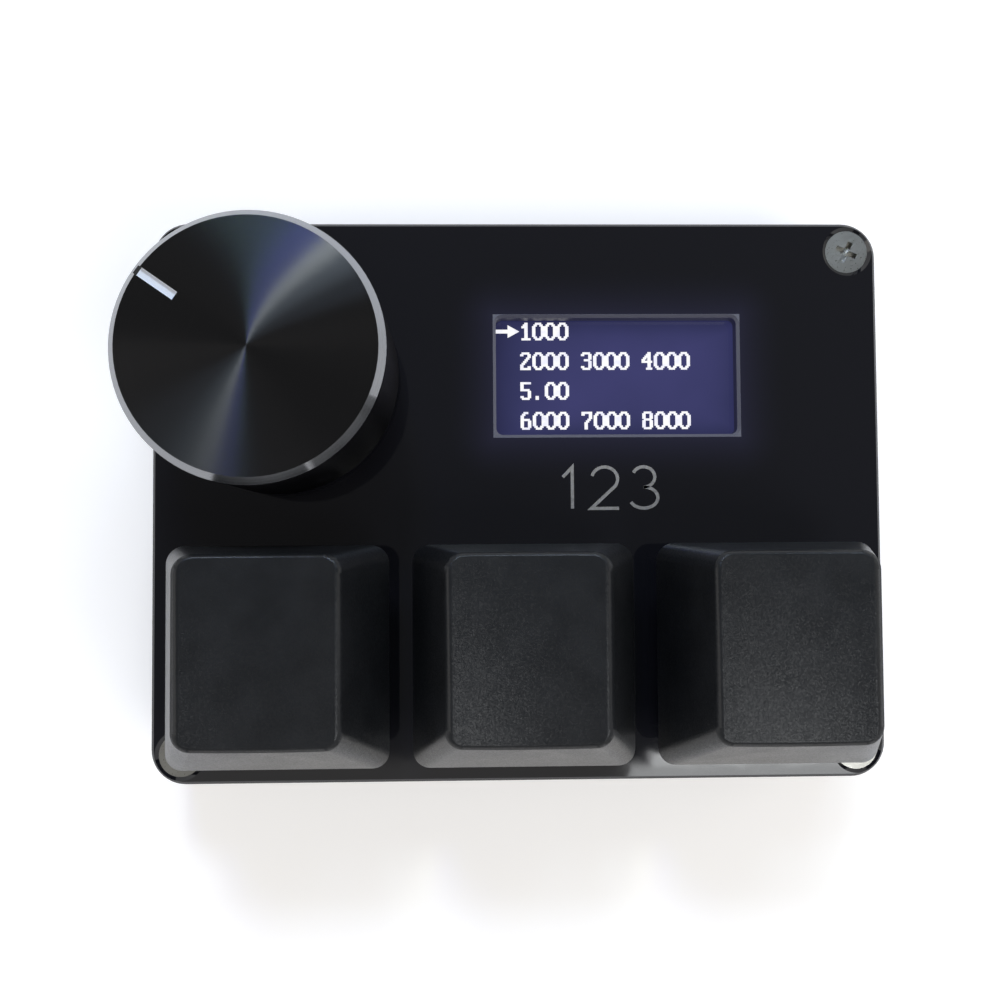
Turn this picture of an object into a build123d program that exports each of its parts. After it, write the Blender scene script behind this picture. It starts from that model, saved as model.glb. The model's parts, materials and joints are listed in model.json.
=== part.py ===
from build123d import *
import math
import os

# Desk macro keypad: three sprung keys, a push-and-turn knob and a small display on a shallow case.
# Millimetres. +X is the user's right, +Y the rear, +Z up. The origin is on the desk under the case.

# Keycaps
key_names = ("left", "middle", "right")
cap_base = 18.1
cap_height = 9.4
cap_top_length = 12.4
cap_top_width = 14.3
cap_top_shift = 1.25
cap_corner = 1.5
cap_dish = 0.55
cap_edge_bevel = 0.35
cap_wall = 1.3
cap_roof = 1.5
cap_lift = 6.5
cap_rib_thickness = 0.8
cap_rib_height = 2.0
cap_post_radius = 2.75

# Spaces between the things on the panel and its edges
cap_gap = 1.9
side_lip = 2.95
front_lip = 2.45
rear_lip = 3.4
knob_side_lip = 0.95
knob_to_caps = 4.45
window_rear_strip = 8.4
window_right_strip = 12.55
socket_to_display = 0.98
screw_lip = 0.3

# Heights, from the desk up
foot_height = 1.0
floor_thickness = 1.6
under_board = 2.4
board_thickness = 1.6
switch_depth = 5.0
panel_thickness = 1.5

# Case
corner_radius = 3.0
wall = 2.0
inner_corner_radius = 1.2
bottom_bevel = 0.8
post_size = 5.2
ledge_width = 1.6
rib_length = 8.0
rib_thickness = 1.6
foot_radius = 3.0
foot_inset = 8.5

# Panel
panel_bevel = 0.25
window_length = 21.4
window_width = 10.4
window_corner = 0.6
encoder_opening_room = 0.5

# Screws
screw_length = 6.0
screw_radius = 1.0
head_radius = 1.89
countersink_radius = 2.2
recess_length = 1.95
recess_width = 0.48
recess_depth = 0.7
recess_angle = 65.0
screw_room = 0.6

# Clearances and one overrun for cuts
seat_gap = 0.02
slide_gap = 0.2
board_gap = 0.3
pin_gap = 0.08
overrun = 1.0

# Key switch housings
switch_size = 13.9
switch_opening_gap = 0.05
switch_wall = 1.55
flange_lip = 0.85
flange_height = 1.0
cavity_floor = 1.0
guide_wall = 0.4
clip_length = 3.6
clip_reach = 0.35
clip_height = 1.1
upper_step = 0.5
upper_side_slope = 1.9
upper_end_slope = 1.3
upper_height = 5.6
upper_wall = 0.8
upper_roof = 1.2

# Key stem, magnet and spring
key_travel = 4.0
slider_length = 7.0
slider_width = 5.5
slider_proud = 0.3
slider_height = 4.3
shoulder_gap = 0.65
cross_length = 4.0
cross_arm = 1.25
cross_height = 3.6
cross_gap = 0.03
pole_size = 2.0
pole_gap = 0.15
magnet_length = 1.4
spring_wire = 0.3
spring_turns = 5
spring_chords = 8
spring_gap = 0.25

# Circuit board and what stands on it
chip_size = 6.0
chip_height = 0.85
chip_bevel = 0.15
chip_x_share = 0.30
chip_y_share = 0.16
sensor_length = 2.9
sensor_width = 1.3
sensor_height = 1.0
lead_length = 0.55
lead_width = 0.4
lead_height = 0.15
lead_pitch = 1.9
passive_length = 1.6
passive_width = 0.8
passive_height = 0.8
passive_x_shares = (-0.42, -0.14, 0.02, 0.08, 0.52, 0.58, 0.64, 0.70)
passive_y_shares = (-0.12, 0.30, 0.30, 0.62, 0.10, 0.10, 0.56, 0.56)
regulator_length = 3.6
regulator_width = 1.8
regulator_height = 1.1
regulator_x_share = -0.16
regulator_y_share = 0.54

# Rear socket
socket_width = 8.94
socket_height = 3.26
socket_depth = 7.35
socket_radius = 1.3
socket_sheet = 0.3
socket_sink = 1.0
socket_recess = 0.3
socket_wall_gap = 0.2
socket_wing_length = 0.6
socket_wing_width = 1.2
tongue_width = 6.7
tongue_thickness = 0.7
tongue_length = 4.4
tongue_block_depth = 1.6

# Display module
lcd_left_cover = 2.0
lcd_right_cover = 4.35
lcd_end_cover = 1.5
lcd_lip = 0.4
lcd_lip_height = 0.5
lcd_base = 0.7
glass_thickness = 0.8
display_gap = 0.3
cushion_inset = 1.2
flex_width = 8.0
flex_thickness = 0.15
flex_reach = 2.4
flex_fold = 0.6
flex_socket_depth = 3.2
flex_socket_width = 10.0
flex_socket_height = 1.0
flex_entry = 1.0

# Push-and-turn encoder
encoder_length = 11.7
encoder_width = 12.0
encoder_floor = 0.8
encoder_shelf = 2.6
encoder_head_gap = 0.15
rotor_rim = 1.1
rotor_height = 0.7
well_size = 6.0
plunger_size = 2.0
push_travel = 0.5
bush_flange = 1.5
bush_wall = 0.45
bush_length = 5.0
bush_bore_gap = 0.05
shaft_radius = 3.0
shaft_length = 12.5
shaft_neck = 0.5
shaft_flat_offset = 1.5
shaft_collar_lip = 0.5
shaft_collar_height = 0.35
drive_radius = 2.2
drive_width = 3.0
detent_length = 3.0
detent_width = 0.7
detent_thickness = 0.16
detent_bump = 0.3
contact_gap = 0.5
contact_width = 2.0
contact_sheet = 0.1
contact_top_length = 2.4
bracket_sheet = 0.35
bracket_skirt_width = 6.0
bracket_tab_width = 2.2
leg_proud = 1.2
terminal_reach = 1.2
terminal_width = 0.9
terminal_thickness = 0.3
terminal_rise = 0.5
front_terminal_pitch = 2.5
rear_terminal_pitch = 5.0

# Knob
knob_lift = 1.2
knob_roof = 2.4
knob_wall = 1.4
knob_rim_width = 0.55
knob_rim_height = 0.7
knob_cavity_gap = 0.27
groove_width = 0.7
groove_length = 3.35
groove_depth = 0.35
groove_angle = 145.0
core_radius = 5.0
core_lift = 0.5
core_cap = 0.3
core_gap = 0.03

# Sizes worked out from those above
flange_size = switch_size + 2 * flange_lip
cavity_size = switch_size - 2 * switch_wall
upper_base_size = flange_size - 2 * upper_step
upper_top_length = upper_base_size - 2 * upper_side_slope
upper_top_width = upper_base_size - 2 * upper_end_slope
shoulder_length = cavity_size - 2 * shoulder_gap
guide_inner = pole_size + 2 * pole_gap
guide_outer = guide_inner + 2 * guide_wall
spring_inner_radius = math.hypot(guide_outer, guide_outer) / 2 + spring_gap
lcd_length = window_length + lcd_left_cover + lcd_right_cover
lcd_width = window_width + 2 * lcd_end_cover
bush_radius = shaft_radius + bush_bore_gap + bush_wall
shaft_collar_radius = shaft_radius + shaft_collar_lip
shaft_flat_length = shaft_length - bush_length - shaft_neck
rotor_radius = shaft_collar_radius + rotor_rim
contact_length = well_size - 2 * contact_gap
encoder_height = encoder_shelf + rotor_height + push_travel + shaft_collar_height + encoder_head_gap
knob_cavity_radius = math.hypot(encoder_length / 2 + bracket_sheet, encoder_width / 2) + knob_cavity_gap
knob_radius = knob_cavity_radius + knob_wall

# Plan worked out from the sizes above
key_pitch = cap_base + cap_gap
key_row_length = (len(key_names) - 1) * key_pitch + cap_base + 2 * side_lip
encoder_end = knob_side_lip + knob_radius + encoder_length / 2 + bracket_sheet
socket_span = pin_gap + socket_wing_length + socket_width + socket_to_display
rear_row_length = encoder_end + socket_span + lcd_length - lcd_right_cover + window_right_strip
case_length = max(key_row_length, rear_row_length)
case_width = front_lip + cap_base + knob_to_caps + 2 * knob_radius + rear_lip
key_y = front_lip + cap_base / 2 - case_width / 2
key_xs = [(i - (len(key_names) - 1) / 2) * key_pitch for i in range(len(key_names))]
key_places = [(x, key_y) for x in key_xs]
knob_x = knob_side_lip + knob_radius - case_length / 2
knob_y = case_width / 2 - rear_lip - knob_radius
display_x = case_length / 2 - window_right_strip - window_length / 2
display_y = case_width / 2 - window_rear_strip - window_width / 2
lcd_x = display_x + (lcd_right_cover - lcd_left_cover) / 2
lcd_front = display_y - lcd_width / 2
flex_mouth = lcd_front - flex_reach
socket_x = lcd_x - lcd_length / 2 - socket_to_display - socket_width / 2
socket_mouth = case_width / 2 - socket_recess
screw_x = case_length / 2 - countersink_radius - screw_lip
screw_y = case_width / 2 - countersink_radius - screw_lip
foot_x = case_length / 2 - foot_inset
foot_y = case_width / 2 - foot_inset
quarters = [(sx, sy) for sx in (-1, 1) for sy in (-1, 1)]
screw_places = [(sx * screw_x, sy * screw_y) for sx, sy in quarters]
foot_places = [(sx * foot_x, sy * foot_y) for sx, sy in quarters]

# Levels worked out from the sizes above
case_bottom = foot_height
floor_top = case_bottom + floor_thickness
board_bottom = floor_top + under_board
board_top = board_bottom + board_thickness
panel_top = board_top + switch_depth
panel_bottom = panel_top - panel_thickness
upper_bottom = panel_top + flange_height
upper_top = upper_bottom + upper_height
slider_top = upper_top + slider_proud
slider_bottom = slider_top - slider_height
cavity_bottom = board_top + cavity_floor
cap_bottom = panel_top + cap_lift
cap_top = cap_bottom + cap_height
guide_height = slider_bottom - key_travel - slide_gap - cavity_bottom
pole_length = guide_height - magnet_length
encoder_top = board_top + encoder_height
rotor_bottom = board_top + encoder_shelf + seat_gap
rotor_top = rotor_bottom + rotor_height
flange_top = encoder_top + bush_flange
collar_bottom = encoder_top - seat_gap - shaft_collar_height
shaft_top = flange_top + shaft_length
shaft_foot = rotor_bottom + pin_gap
plunger_top = shaft_foot - seat_gap
well_floor = board_top + encoder_floor
plunger_bottom = well_floor + contact_sheet + push_travel + seat_gap
core_bottom = shaft_top - shaft_flat_length + core_lift
core_top = shaft_top + core_cap
knob_bottom = panel_top + knob_lift
knob_top = core_top + knob_roof
glass_top = panel_bottom - display_gap
glass_bottom = glass_top - glass_thickness
lcd_bottom = glass_bottom - lcd_base
socket_z = board_top - socket_sink + socket_height / 2


def block(length, width, height, base, x=0.0, y=0.0):
    """An upright block centred over x, y."""
    return Pos(x, y, base) * Box(length, width, height, align=(Align.CENTER, Align.CENTER, Align.MIN))


def disc(radius, height, base, x=0.0, y=0.0):
    """An upright cylinder centred over x, y."""
    return Pos(x, y, base) * Cylinder(radius, height, align=(Align.CENTER, Align.CENTER, Align.MIN))


def slab(length, width, radius, height, base, x=0.0, y=0.0):
    """A block with rounded upright corners."""
    return extrude(Pos(x, y, base) * RectangleRounded(length, width, radius), height)


def taper(low, high, base, height, shift=0.0):
    """A block that narrows upwards from one length and width to another, its top shifted back."""
    x_low = (low[0] - high[0]) / 2
    z_low = (low[1] - high[1]) / 2 - shift
    wedge = Wedge(low[0], height, low[1], x_low, z_low, x_low + high[0], z_low + high[1],
                  align=(Align.CENTER, Align.MIN, Align.CENTER))
    return Pos(0, 0, base) * Rot(90, 0, 0) * wedge


def between(low, high, share):
    """The value a share of the way from low to high."""
    return low + (high - low) * share


def turned(points):
    """A solid turned about Z from an outline of radius, height points."""
    outline = Plane.XZ * make_face(Polyline(*points, close=True))
    return revolve(outline, Axis.Z)


def at_places(shape, places):
    """Separate copies of a shape at x, y places."""
    return Part() + [Pos(x, y, 0) * shape for x, y in places]


def case_body():
    """Shallow tub with corner posts, board ledges, ribs under the key row and a rear socket opening."""
    outer = slab(case_length, case_width, corner_radius, panel_bottom - case_bottom, case_bottom)
    room = slab(case_length - 2 * wall, case_width - 2 * wall, inner_corner_radius, panel_bottom, floor_top)
    tub = chamfer(outer.faces().sort_by(Axis.Z)[0].edges(), bottom_bevel) - room
    ledge_size = post_size + 2 * ledge_width
    post = block(post_size, post_size, panel_bottom - floor_top, floor_top)
    post += block(ledge_size, ledge_size, under_board, floor_top)
    rib = block(rib_thickness, rib_length, under_board, floor_top)
    tub += at_places(post, screw_places) & outer
    tub += at_places(rib, [(x + key_pitch / 2, key_y) for x in key_xs[:-1]])
    pocket = switch_size + 2 * board_gap
    tub -= at_places(block(pocket, pocket, switch_depth, board_top), key_places)
    bore_bottom = panel_top - screw_length - screw_room
    tub -= at_places(disc(screw_radius + pin_gap, panel_top - bore_bottom, bore_bottom), screw_places)
    mouth_plane = Plane((socket_x, case_width / 2 - wall - overrun, socket_z), (1, 0, 0), (0, 1, 0))
    gap = 2 * socket_wall_gap
    mouth = RectangleRounded(socket_width + gap, socket_height + gap, socket_radius + socket_wall_gap)
    return tub - extrude(mouth_plane * mouth, wall + 2 * overrun)


def rubber_feet():
    """Four stick-on discs under the case."""
    return at_places(disc(foot_radius, foot_height, 0.0), foot_places)


def panel_screws():
    """Four countersunk screws with cross recesses."""
    head_top = panel_top - (countersink_radius - head_radius) + seat_gap
    tip = head_top - screw_length
    neck = head_top - (head_radius - screw_radius)
    screw = turned([(0, tip), (screw_radius, tip), (screw_radius, neck), (head_radius, head_top),
                    (0, head_top)])
    arm = block(recess_length, recess_width, recess_depth + overrun, head_top - recess_depth)
    screw -= arm + Rot(0, 0, 90) * arm
    return at_places(Rot(0, 0, recess_angle) * screw, screw_places)


def top_panel():
    """Bevelled plate with switch and encoder openings, a bevelled display window and countersinks."""
    plate = slab(case_length, case_width, corner_radius, panel_thickness, panel_bottom)
    low = panel_bottom - overrun
    depth = panel_thickness + 2 * overrun
    plate -= slab(window_length, window_width, window_corner, depth, low, display_x, display_y)
    plate = chamfer(plate.faces().sort_by(Axis.Z)[-1].edges(), panel_bevel)
    opening = switch_size + 2 * switch_opening_gap
    plate -= at_places(block(opening, opening, depth, low), key_places)
    room = 2 * (encoder_opening_room + bracket_sheet)
    plate -= block(encoder_length + room, encoder_width + room, depth, low, knob_x, knob_y)
    hole_radius = screw_radius + slide_gap
    sink = countersink_radius - hole_radius
    hole = turned([(0, low), (hole_radius, low), (hole_radius, panel_top - sink),
                   (countersink_radius, panel_top), (countersink_radius, panel_top + overrun),
                   (0, panel_top + overrun)])
    return plate - at_places(hole, screw_places)


def main_board():
    """Board with notches round the posts and the socket, and holes for the encoder's legs."""
    length = case_length - 2 * (wall + board_gap)
    width = case_width - 2 * (wall + board_gap)
    board = block(length, width, board_thickness, board_bottom)
    low = board_bottom - overrun
    depth = board_thickness + 2 * overrun
    notch = post_size + 2 * board_gap
    board -= at_places(block(notch, notch, depth, low), screw_places)
    notch_depth = socket_depth + board_gap
    notch_y = socket_mouth - notch_depth / 2
    board -= block(socket_width + 2 * board_gap, notch_depth, depth, low, socket_x, notch_y)
    hole = block(terminal_width + 2 * pin_gap, terminal_thickness + 2 * pin_gap, depth, low)
    board -= at_places(hole, terminal_places())
    slot = block(bracket_sheet + 2 * pin_gap, bracket_tab_width + 2 * pin_gap, depth, low)
    return board - at_places(slot, tab_places())


def board_place(x_share, y_share):
    """A place on the board at shares of the case's inner half length and half width."""
    return x_share * (case_length / 2 - wall), y_share * (case_width / 2 - wall)


def controller_chip():
    """Leadless controller package under the board."""
    x, y = board_place(chip_x_share, chip_y_share)
    package = block(chip_size, chip_size, chip_height, board_bottom - chip_height, x, y)
    return chamfer(package.faces().sort_by(Axis.Z)[0].edges(), chip_bevel)


def hall_sensors():
    """Three-lead sensors under the board, one below each key's magnet."""
    body = block(sensor_length, sensor_width, sensor_height, board_bottom - sensor_height)
    reach = (sensor_width + lead_length) / 2
    lead = block(lead_width, lead_length, lead_height, board_bottom - lead_height)
    sensor = body + Pos(0, reach, 0) * lead
    sensor += at_places(lead, [(side * lead_pitch / 2, -reach) for side in (-1, 1)])
    return at_places(sensor, key_places)


def board_components():
    """Small chip parts and a regulator under the board."""
    passive = block(passive_length, passive_width, passive_height, board_bottom - passive_height)
    places = [board_place(x, y) for x, y in zip(passive_x_shares, passive_y_shares)]
    x, y = board_place(regulator_x_share, regulator_y_share)
    base = board_bottom - regulator_height
    regulator = block(regulator_length, regulator_width, regulator_height, base, x, y)
    return at_places(passive, places) + regulator


def usb_shell():
    """Drawn sheet shell of the rear socket, held on the board by four wings."""
    plane = Plane((socket_x, socket_mouth, socket_z), (1, 0, 0), (0, -1, 0))
    outside = extrude(plane * RectangleRounded(socket_width, socket_height, socket_radius), socket_depth)
    inside = RectangleRounded(socket_width - 2 * socket_sheet, socket_height - 2 * socket_sheet,
                              socket_radius - socket_sheet)
    wing = block(2 * socket_wing_length, socket_wing_width, socket_sheet, board_top)
    rear = case_width / 2 - wall - board_gap - socket_wing_width
    front = socket_mouth - socket_depth + socket_wing_width / 2
    places = [(socket_x + side * socket_width / 2, y) for side in (-1, 1) for y in (front, rear)]
    return outside + at_places(wing, places) - extrude(plane * inside, socket_depth - socket_sheet)


def usb_tongue():
    """Moulded contact tongue on its block at the back of the socket."""
    back = socket_mouth - socket_depth + socket_sheet
    width = socket_width - 2 * (socket_sheet + seat_gap)
    height = socket_height - 2 * (socket_sheet + seat_gap)
    plane = Plane((socket_x, back, socket_z), (1, 0, 0), (0, 1, 0))
    base = RectangleRounded(width, height, socket_radius - socket_sheet)
    tongue = Rectangle(tongue_width, tongue_thickness)
    reach = tongue_block_depth + tongue_length
    return extrude(plane * base, tongue_block_depth) + extrude(plane * tongue, reach)


def lcd_frame():
    """Backlight tray with a raised lip round the glass."""
    tray = block(lcd_length, lcd_width, lcd_base + lcd_lip_height, lcd_bottom, lcd_x, display_y)
    length = lcd_length - 2 * lcd_lip
    width = lcd_width - 2 * lcd_lip
    return tray - block(length, width, glass_thickness, glass_bottom, lcd_x, display_y)


def lcd_glass():
    """Glass of the display, proud of its tray and just under the panel."""
    inset = 2 * (lcd_lip + seat_gap)
    return block(lcd_length - inset, lcd_width - inset, glass_thickness, glass_bottom, lcd_x, display_y)


def lcd_cushion():
    """Foam pad between the display's tray and the board."""
    length = lcd_length - 2 * cushion_inset
    width = lcd_width - 2 * cushion_inset
    return block(length, width, lcd_bottom - board_top, board_top, lcd_x, display_y)


def lcd_flex():
    """Ribbon from the front of the tray down to its socket, in two folds."""
    start = lcd_bottom + lcd_base / 2
    end = board_top + flex_socket_height / 2
    route = Polyline((lcd_x, lcd_front, start), (lcd_x, lcd_front - flex_fold, start),
                     (lcd_x, flex_mouth + flex_fold, end), (lcd_x, flex_mouth - flex_entry, end))
    plane = Plane((lcd_x, lcd_front, start), (1, 0, 0), (0, -1, 0))
    return sweep(plane * Rectangle(flex_width, flex_thickness), route, transition=Transition.RIGHT)


def flex_socket():
    """Low board socket that takes the display's ribbon."""
    y = flex_mouth - flex_socket_depth / 2
    body = block(flex_socket_width, flex_socket_depth, flex_socket_height, board_top, lcd_x, y)
    slit_height = flex_thickness + 2 * seat_gap
    slit_base = board_top + (flex_socket_height - slit_height) / 2
    slit_depth = 2 * (flex_entry + seat_gap)
    return body - block(flex_width + 2 * seat_gap, slit_depth, slit_height, slit_base, lcd_x, flex_mouth)


def switch_lower():
    """Lower switch housing: clip-in body with a flange, a cavity and a guide for the stem's pole."""
    clip_base = panel_bottom - seat_gap - clip_height
    body = block(switch_size, switch_size, switch_depth, board_top)
    body += block(flange_size, flange_size, flange_height, panel_top)
    clip_width = switch_size + 2 * clip_reach
    body += taper((clip_length, switch_size), (clip_length, clip_width), clip_base, clip_height)
    body -= block(cavity_size, cavity_size, upper_bottom, cavity_bottom)
    guide = block(guide_outer, guide_outer, guide_height, cavity_bottom)
    return body + (guide - block(guide_inner, guide_inner, guide_height, cavity_bottom))


def switch_upper():
    """Upper switch housing: tapered hood with a slot for the slider."""
    low = (upper_base_size, upper_base_size)
    high = (upper_top_length, upper_top_width)
    inner_height = upper_height - upper_roof
    share = inner_height / upper_height
    inner_low = [size - 2 * upper_wall for size in low]
    inner_high = [between(a, b, share) - 2 * upper_wall for a, b in zip(low, high)]
    hood = taper(low, high, upper_bottom, upper_height)
    hood -= taper(inner_low, inner_high, upper_bottom, inner_height)
    room = 2 * slide_gap
    return hood - block(slider_length + room, slider_width + room, upper_height, upper_bottom)


def switch_stem():
    """Sliding stem: cross for the cap, slider, stop shoulders and a pole for the magnet."""
    shoulder_top = upper_top - upper_roof - seat_gap
    arm = block(cross_length, cross_arm, cross_height, slider_top)
    stem = block(slider_length, slider_width, slider_height, slider_bottom)
    stem += block(shoulder_length, slider_width, shoulder_top - slider_bottom, slider_bottom)
    stem += block(pole_size, pole_size, pole_length, slider_bottom - pole_length)
    return stem + arm + Rot(0, 0, 90) * arm


def switch_magnet():
    """Bar magnet bonded to the foot of the stem's pole."""
    return block(pole_size, pole_size, magnet_length, slider_bottom - guide_height)


def switch_spring():
    """Coil spring from the housing's floor to the slider, drawn with straight chords."""
    low = cavity_bottom + spring_wire + seat_gap
    high = slider_bottom - spring_wire - seat_gap
    mean_radius = spring_inner_radius + spring_wire / 2
    count = round(spring_turns * spring_chords)
    turn = 2 * math.pi / spring_chords
    coil = Polyline(*[(mean_radius * math.cos(turn * i), mean_radius * math.sin(turn * i),
                       between(low, high, i / count)) for i in range(count + 1)])
    section = Plane(coil @ 0, z_dir=coil % 0) * Rectangle(spring_wire, spring_wire)
    return sweep(section, coil, transition=Transition.RIGHT)


def keycap():
    """Tapered cap with rounded corners, a dished and bevelled top, thin walls, a cross socket and ribs."""
    low = (cap_base, cap_base)
    high = (cap_top_length, cap_top_width)
    shell = taper(low, high, cap_bottom, cap_height, cap_top_shift)
    shell = fillet([e for e in shell.edges() if abs((e @ 1 - e @ 0).Z) > cap_height / 2], cap_corner)
    dish_radius = (cap_top_length**2 / 4 + cap_dish**2) / (2 * cap_dish)
    dish = Cylinder(dish_radius, 2 * cap_base, rotation=(90, 0, 0))
    shell -= Pos(0, 0, cap_top - cap_dish + dish_radius) * dish
    shell = chamfer(shell.faces().sort_by(Axis.Z)[-1].edges(), cap_edge_bevel)
    depth = cap_height - cap_roof - cap_dish
    share = depth / cap_height
    roof = cap_bottom + depth
    inner_low = [size - 2 * cap_wall for size in low]
    inner_high = [between(a, b, share) - 2 * cap_wall for a, b in zip(low, high)]
    hollow = taper(inner_low, inner_high, cap_bottom, depth, share * cap_top_shift)
    hollow -= disc(cap_post_radius, roof - slider_top, slider_top)
    hollow -= block(cap_base, cap_rib_thickness, cap_rib_height, roof - cap_rib_height)
    room = 2 * cross_gap
    arm = block(cross_length + room, cross_arm + room, cross_height + slide_gap, slider_top)
    return shell - hollow - arm - Rot(0, 0, 90) * arm


def encoder_base():
    """Moulded base with a well for the push switch and a seat for the rotor."""
    base = block(encoder_length, encoder_width, encoder_height, board_top)
    base -= block(well_size, well_size, encoder_height, well_floor)
    base -= disc(rotor_radius + slide_gap, encoder_height, board_top + encoder_shelf)
    return Pos(knob_x, knob_y, 0) * base


def encoder_bush():
    """Cast flange and neck that guide the shaft."""
    bush = block(encoder_length, encoder_width, bush_flange, encoder_top)
    bush += disc(bush_radius, bush_length, flange_top)
    bush -= disc(shaft_radius + bush_bore_gap, bush_flange + bush_length, encoder_top)
    return Pos(knob_x, knob_y, 0) * bush


def tab_places():
    """Centres of the bracket's two board tabs."""
    reach = (encoder_length + bracket_sheet) / 2
    return [(knob_x + side * reach, knob_y) for side in (-1, 1)]


def encoder_bracket():
    """Folded sheet that holds the bush on the base and pins both to the board."""
    length = encoder_length + 2 * bracket_sheet
    top = block(length, encoder_width, bracket_sheet, flange_top, knob_x, knob_y)
    top -= disc(bush_radius + slide_gap, bracket_sheet, flange_top, knob_x, knob_y)
    skirt = block(bracket_sheet, bracket_skirt_width, flange_top - board_top, board_top)
    tab_length = board_thickness + leg_proud
    tab = block(bracket_sheet, bracket_tab_width, tab_length, board_top - tab_length)
    return top + at_places(skirt + tab, tab_places())


def terminal_places():
    """Centres of the three front and two rear terminals."""
    reach = encoder_width / 2 + terminal_reach - terminal_thickness / 2
    front = [(knob_x + i * front_terminal_pitch, knob_y - reach) for i in (-1, 0, 1)]
    rear = [(knob_x + side * rear_terminal_pitch / 2, knob_y + reach) for side in (-1, 1)]
    return front + rear


def encoder_terminals():
    """Bent terminals from the base's front and rear down through the board."""
    top = board_top + terminal_rise
    leg_length = board_thickness + leg_proud + terminal_rise
    leg = block(terminal_width, terminal_thickness, leg_length, top - leg_length)
    arm = block(terminal_width, terminal_reach, terminal_thickness, top - terminal_thickness)
    shift = (terminal_reach - terminal_thickness) / 2
    arm_places = [(x, y + math.copysign(shift, knob_y - y)) for x, y in terminal_places()]
    return at_places(leg, terminal_places()) + at_places(arm, arm_places)


def detent_spring():
    """Leaf under the bush's flange, with a bump over the rotor."""
    base = encoder_top - detent_thickness
    bump_drop = (base - rotor_top) / 2
    leaf = block(detent_length, detent_width, detent_thickness, base)
    leaf += block(detent_bump, detent_width, bump_drop, base - bump_drop)
    offset = shaft_collar_radius + slide_gap + detent_width / 2
    return Pos(knob_x, knob_y + offset, 0) * leaf


def drive_section(room=0.0):
    """Two-flat section of the shaft's drive tongue, larger all round by room."""
    return Circle(drive_radius + room) & Rectangle(2 * (drive_radius + room), drive_width + 2 * room)


def encoder_rotor():
    """Disc driven by the shaft's two flats."""
    hole = extrude(Pos(0, 0, rotor_bottom) * drive_section(pin_gap), rotor_height)
    return Pos(knob_x, knob_y, 0) * (disc(rotor_radius, rotor_height, rotor_bottom) - hole)


def encoder_shaft():
    """Flatted shaft with a stop collar and a two-flat drive tongue."""
    shaft = disc(shaft_radius, shaft_top - collar_bottom, collar_bottom)
    shaft += disc(shaft_collar_radius, shaft_collar_height, collar_bottom)
    shaft += extrude(Pos(0, 0, shaft_foot) * drive_section(), collar_bottom - shaft_foot)
    flat = block(shaft_radius, 2 * shaft_radius, shaft_flat_length, shaft_top - shaft_flat_length)
    return Pos(knob_x, knob_y, 0) * (shaft - Pos(shaft_flat_offset + shaft_radius / 2, 0, 0) * flat)


def push_plunger():
    """Pin between the shaft's foot and the push switch's contact."""
    return block(plunger_size, plunger_size, plunger_top - plunger_bottom, plunger_bottom, knob_x, knob_y)


def push_contact():
    """Arched contact strip on the floor of the well."""
    top = plunger_bottom - seat_gap
    foot = contact_length / 2
    crown = contact_top_length / 2
    outline = [(-foot, well_floor), (-crown, top), (crown, top), (foot, well_floor),
               (foot - contact_sheet, well_floor), (crown - contact_sheet, top - contact_sheet),
               (contact_sheet - crown, top - contact_sheet), (contact_sheet - foot, well_floor)]
    arch = make_face(Polyline(*outline, close=True))
    strip = extrude(Plane.XZ * arch, contact_width / 2, both=True)
    return Pos(knob_x, knob_y, 0) * strip


def knob_shell():
    """Turned knob with a bevelled rim, a hollow foot, a stepped bore and a pointer groove."""
    face_radius = knob_radius - knob_rim_width
    shell = turned([(0, core_top), (core_radius, core_top), (core_radius, core_bottom),
                    (knob_cavity_radius, core_bottom), (knob_cavity_radius, knob_bottom),
                    (knob_radius, knob_bottom), (knob_radius, knob_top - knob_rim_height),
                    (face_radius, knob_top), (0, knob_top)])
    reach = groove_length + knob_rim_width
    depth = groove_depth + overrun
    groove = block(reach, groove_width, depth, knob_top - groove_depth, knob_radius - reach / 2)
    return Pos(knob_x, knob_y, 0) * (shell - Rot(0, 0, groove_angle) * groove)


def knob_core():
    """Moulded core in the knob's bore with a flatted hole for the shaft."""
    height = core_top - core_bottom
    beyond = block(shaft_radius, 2 * core_radius, height, core_bottom)
    hole = disc(shaft_radius + core_gap, height, core_bottom)
    hole -= Pos(shaft_flat_offset + core_gap + shaft_radius / 2, 0, 0) * beyond
    return Pos(knob_x, knob_y, 0) * (disc(core_radius - seat_gap, height, core_bottom) - hole)


single_makers = (case_body, rubber_feet, panel_screws, top_panel, main_board, controller_chip,
                 hall_sensors, board_components, usb_shell, usb_tongue, lcd_frame, lcd_glass, lcd_cushion,
                 lcd_flex, flex_socket, encoder_base, encoder_bush, encoder_bracket, encoder_terminals,
                 detent_spring, encoder_rotor, encoder_shaft, push_plunger, push_contact, knob_shell,
                 knob_core)
key_makers = (switch_lower, switch_upper, switch_stem, switch_magnet, switch_spring, keycap)

nodes = {make.__name__: make() for make in single_makers}
for make in key_makers:
    piece = make()
    for name, (x, y) in zip(key_names, key_places):
        nodes[f"{make.__name__}_{name}"] = Pos(x, y, 0) * piece

os.makedirs("parts", exist_ok=True)
for name, shape in nodes.items():
    export_step(shape, f"parts/{name}.step")
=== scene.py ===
"""Dresses the macro keypad: a finish for every solid, springs, signs, light and camera."""

import json
import math

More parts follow.
